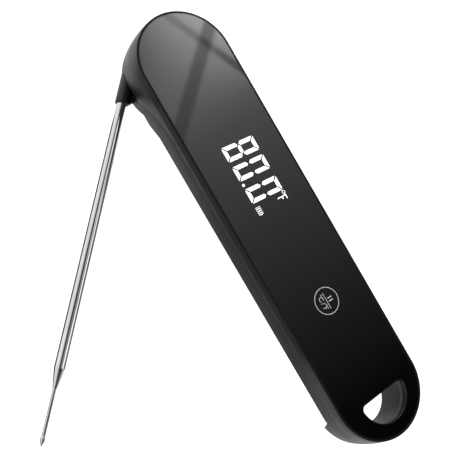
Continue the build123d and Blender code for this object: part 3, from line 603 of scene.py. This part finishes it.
# Brightness along the card, by the distance from the object's middle.
CARD_LEVELS = (
    (-0.30, 0.0),
    (-0.24, 0.03),
    (-0.15, 0.19),
    (-0.08, 0.38),
    (-0.01, 0.64),
    (0.06, 1.00),
    (0.12, 1.45),
    (0.16, 2.25),
    (0.19, 2.80),
    (0.22, 3.20),
    (0.30, 3.60),
)
# The head end of the card gets brighter across: where the change is nil, its rate, where it sets in,
# and the least it may leave.
CARD_SLOPE_FROM = 0.318
CARD_SLOPE = 18.0
CARD_SLOPE_SPAN = (0.15, 0.26)
CARD_LEAST = 0.5
BARS = (
    # start, end, half width and blur of each shadow, and its depth at the start and at the end
    ((0.3637, 0.2608), (0.3979, 0.2011), 0.0030, 0.0045, (0.30, 0.62)),
    ((0.3023, 0.1516), (0.3979, 0.2400), 0.0060, 0.0050, (0.42, 0.54)),
)


def window_card():
    """Hang the card out of the camera's view, where it casts no shadow."""
    (x0, y0), (x1, y1) = CARD_BOX
    card = plane(
        "window_card",
        [(x0, y0, CARD_HEIGHT), (x0, y1, CARD_HEIGHT), (x1, y1, CARD_HEIGHT), (x1, y0, CARD_HEIGHT)],
    )
    card.visible_camera = False
    card.visible_shadow = False
    g = Graph("window_light")
    x, y = g.axis("X"), g.axis("Y")

    def bar(start, end, half_width, blur):
        """Dark bar along a line on the card: one in its middle."""
        dx, dy = end[0] - start[0], end[1] - start[1]
        length = sqrt(dx * dx + dy * dy)
        across_x, across_y = -dy / length, dx / length
        shift = start[0] * across_x + start[1] * across_y
        offset = g.math("ADD", g.product(x, across_x), g.product(y, across_y))
        offset = g.math("SUBTRACT", offset, shift)
        return g.span(g.math("ABSOLUTE", offset), half_width, half_width + blur, 1.0, 0.0)

    fall = g.new("ShaderNodeValToRGB")
    low, high = CARD_LEVELS[0][0], CARD_LEVELS[-1][0]
    fill_ramp(
        fall.color_ramp,
        [((place - low) / (high - low), level / CARD_GAIN) for place, level in CARD_LEVELS],
    )
    g.join(g.span(y, low, high), fall.inputs["Fac"])
    steep = g.span(y, *CARD_SLOPE_SPAN, 0.0, CARD_SLOPE)
    rise = g.product(g.math("SUBTRACT", x, CARD_SLOPE_FROM), steep)
    slope = g.math("MAXIMUM", g.math("ADD", 1.0, rise), CARD_LEAST)
    level = g.product(fall.outputs["Color"], CARD_GAIN, slope)
    for start, end, half_width, blur, depths in BARS:
        depth = g.span(x, start[0], end[0], *depths)
        shade = g.product(bar(start, end, half_width, blur), depth)
        level = g.product(level, g.math("SUBTRACT", 1.0, shade))
    emission = g.new("ShaderNodeEmission")
    g.join(level, emission.inputs["Strength"])
    output = g.tree.nodes["Material Output"]
    g.join(emission.outputs["Emission"], output.inputs["Surface"])
    g.tree.nodes.remove(g.shader)
    card.data.materials.append(g.material)


window_card()


KEY_PLACE = (-0.9, 0.7, 0.9)
KEY_SIDE = 0.7
KEY_POWER = 5.0


def key_light():
    """Large soft light from the upper left, which reflections don't show."""
    data = bpy.data.lights.new("key", "AREA")
    data.shape = "RECTANGLE"
    data.size = KEY_SIDE
    data.size_y = KEY_SIDE
    data.energy = KEY_POWER
    light = bpy.data.objects.new("key", data)
    bpy.context.scene.collection.objects.link(light)
    light.location = KEY_PLACE
    light.rotation_mode = "QUATERNION"
    light.rotation_quaternion = (-Vector(KEY_PLACE)).to_track_quat("-Z", "Y")
    light.visible_glossy = False


key_light()

HALF_TURN = 180
# Studio surroundings, by the angle round the probe's line: 0 is overhead, + is its left.
# Each row gives the light that the hinge end, the shaft and the tip reflect.
SURROUND = (
    (-HALF_TURN, 0.03, 0.03, 0.03),
    (-125, 0.02, 0.10, 0.60),
    (-92, 0.02, 0.30, 0.65),
    (-69, 0.04, 1.40, 0.30),
    (-50, 0.30, 1.30, 0.08),
    (-34, 0.55, 0.75, 0.04),
    (-17, 0.20, 0.18, 0.02),
    (-4, 0.02, 0.02, 0.02),
    (6, 0.03, 0.02, 0.05),
    (17, 0.40, 0.20, 0.18),
    (33, 0.80, 0.80, 0.65),
    (50, 1.00, 1.00, 0.90),
    (103, 1.00, 1.00, 0.90),
    (112, 0.06, 0.08, 0.10),
    (HALF_TURN, 0.03, 0.03, 0.03),
)
# Where one end's light gives way to the next, by the direction's part along the probe.
SURROUND_RUNS = ((-0.37, -0.31), (-0.12, -0.09))


def studio_world():
    """Light from all round: bands for the steel to reflect, and plain white behind the camera's view."""
    world = bpy.data.worlds.new("studio")
    bpy.context.scene.world = world
    world.use_nodes = True
    tree = world.node_tree
    background = tree.nodes["Background"]

    def new(kind, **settings):
        node = tree.nodes.new(kind)
        for name, value in settings.items():
            setattr(node, name, value)
        return node

    direction = new("ShaderNodeTexCoord").outputs["Generated"]

    def part_along(line):
        """The direction's part along a line."""
        dot = new("ShaderNodeVectorMath", operation="DOT_PRODUCT")
        dot.inputs[1].default_value = line
        tree.links.new(direction, dot.inputs[0])
        return dot.outputs["Value"]

    def share(value, low, high):
        """Where a value lies between two limits, from 0 to 1."""
        node = new("ShaderNodeMapRange")
        node.inputs["From Min"].default_value = low
        node.inputs["From Max"].default_value = high
        tree.links.new(value, node.inputs["Value"])
        return node.outputs["Result"]

    def blend(factor, first, second):
        """Mix of two colours, the second one fixed or from another node."""
        node = new("ShaderNodeMix", data_type="RGBA")
        tree.links.new(factor, node.inputs["Factor"])
        tree.links.new(first, node.inputs["A"])
        if isinstance(second, bpy.types.NodeSocket):
            tree.links.new(second, node.inputs["B"])
        else:
            node.inputs["B"].default_value = second
        return node.outputs["Result"]

    angle = new("ShaderNodeMath", operation="ARCTAN2")
    tree.links.new(part_along(PROBE_LEFT), angle.inputs[0])
    tree.links.new(part_along(UPWARDS), angle.inputs[1])
    turn = share(angle.outputs["Value"], -pi, pi)
    rings = []
    for column in (1, 2, 3):
        ramp = new("ShaderNodeValToRGB")
        fill_ramp(ramp.color_ramp, [(0.5 + row[0] / (2 * HALF_TURN), row[column]) for row in SURROUND])
        tree.links.new(turn, ramp.inputs["Fac"])
        rings.append(ramp.outputs["Color"])
    run = part_along(PROBE_RUN)
    around = blend(share(run, *SURROUND_RUNS[0]), rings[0], rings[1])
    around = blend(share(run, *SURROUND_RUNS[1]), around, rings[2])
    seen = new("ShaderNodeLightPath").outputs["Is Camera Ray"]
    tree.links.new(blend(seen, around, grey(1.0)), background.inputs["Color"])


studio_world()
